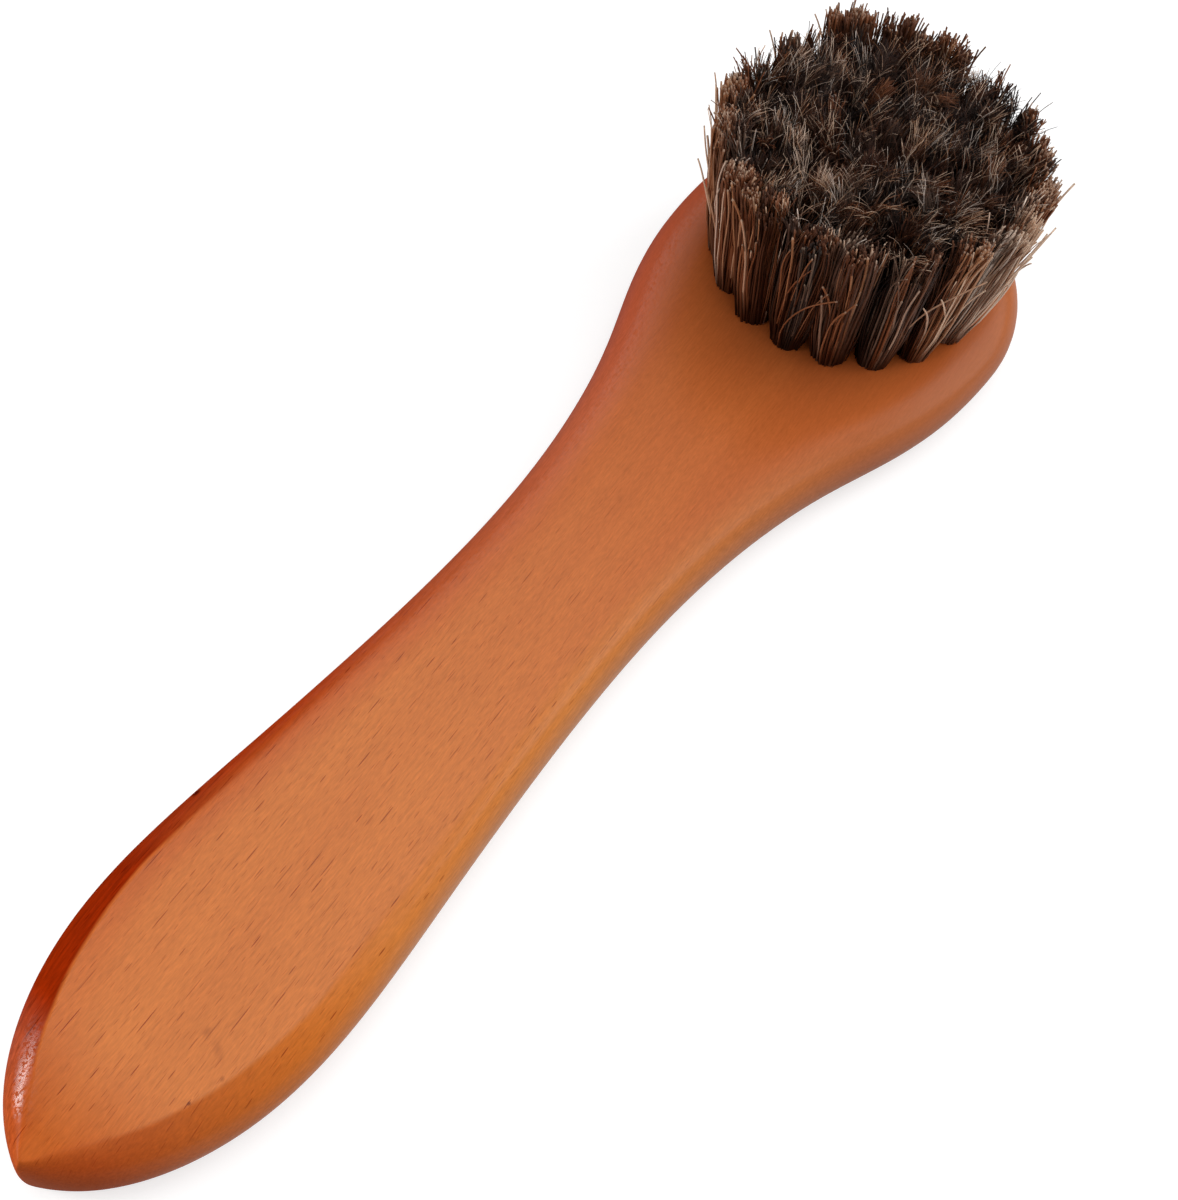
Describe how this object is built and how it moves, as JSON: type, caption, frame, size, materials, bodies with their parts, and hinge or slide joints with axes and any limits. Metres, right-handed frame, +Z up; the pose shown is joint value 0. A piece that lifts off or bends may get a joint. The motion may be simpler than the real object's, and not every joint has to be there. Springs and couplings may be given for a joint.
{
  "type": "shoe shine brush",
  "caption": "Long-handled shoe shine brush: a flat stained beech paddle with a blunt point and a round head that holds a round, flat-trimmed field of dark horsehair tufts.",
  "frame": {"origin": "on the flat back of the handle, under the middle of the brush's length and width", "axes": "+X along the handle from its tip to the round head, +Y across the handle, +Z up from the back through the hair"},
  "size_m": [0.175, 0.049, 0.0325],
  "materials": {
    "lacquered_beech": "orange-brown stain under semi-gloss clear lacquer, fine beech flecks along the handle",
    "horsehair": "natural dark brown horsehair with paler cut ends, slight gloss along each hair",
    "anchor_steel": "flat drawn wire, plain bright steel"
  },
  "bodies": {
    "root": {"handle": "lacquered_beech", "anchors": "anchor_steel", "tuft_centre": "horsehair", "tuft_inner_1": "horsehair", "tuft_inner_2": "horsehair", "tuft_inner_3": "horsehair", "tuft_inner_4": "horsehair", "tuft_inner_5": "horsehair", "tuft_inner_6": "horsehair", "tuft_middle_1": "horsehair", "tuft_middle_2": "horsehair", "tuft_middle_3": "horsehair", "tuft_middle_4": "horsehair", "tuft_middle_5": "horsehair", "tuft_middle_6": "horsehair", "tuft_middle_7": "horsehair", "tuft_middle_8": "horsehair", "tuft_middle_9": "horsehair", "tuft_middle_10": "horsehair", "tuft_middle_11": "horsehair", "tuft_middle_12": "horsehair", "tuft_outer_1": "horsehair", "tuft_outer_2": "horsehair", "tuft_outer_3": "horsehair", "tuft_outer_4": "horsehair", "tuft_outer_5": "horsehair", "tuft_outer_6": "horsehair", "tuft_outer_7": "horsehair", "tuft_outer_8": "horsehair", "tuft_outer_9": "horsehair", "tuft_outer_10": "horsehair", "tuft_outer_11": "horsehair", "tuft_outer_12": "horsehair", "tuft_outer_13": "horsehair", "tuft_outer_14": "horsehair", "tuft_outer_15": "horsehair", "tuft_outer_16": "horsehair", "tuft_outer_17": "horsehair", "tuft_outer_18": "horsehair"}
  },
  "joints": []
}
